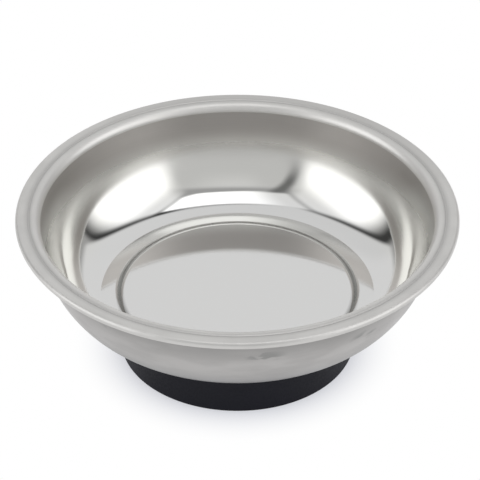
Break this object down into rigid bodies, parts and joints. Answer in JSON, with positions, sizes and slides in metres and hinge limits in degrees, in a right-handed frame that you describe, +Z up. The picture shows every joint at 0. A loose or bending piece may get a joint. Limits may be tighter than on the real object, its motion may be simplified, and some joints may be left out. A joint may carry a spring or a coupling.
{
  "type": "magnetic parts tray",
  "caption": "Round stainless bowl with a curled rim on a ring magnet in a black rubber boot, which holds screws and small steel parts while repairing.",
  "frame": {"origin": "centre of the boot's underside, on the surface that the tray stands on", "axes": "+Z up along the bowl's axis; the tray is round, so X and Y are free"},
  "size_m": [0.108, 0.108, 0.0394],
  "materials": {
    "stainless": "polished inside, satin on the rim and outside",
    "zinc_steel": "zinc plated",
    "plate_steel": "pressed mild steel",
    "ferrite": "sintered, matt",
    "nylon": "natural nylon",
    "black_rubber": "smooth moulded rubber"
  },
  "bodies": {
    "root": {"bowl": "stainless", "weld_stud": "zinc_steel", "upper_plate": "plate_steel", "magnet_ring": "ferrite", "centring_bush": "nylon", "clamp_plate": "plate_steel", "lock_washer": "zinc_steel", "clamp_nut": "zinc_steel", "rubber_boot": "black_rubber"}
  },
  "joints": []
}
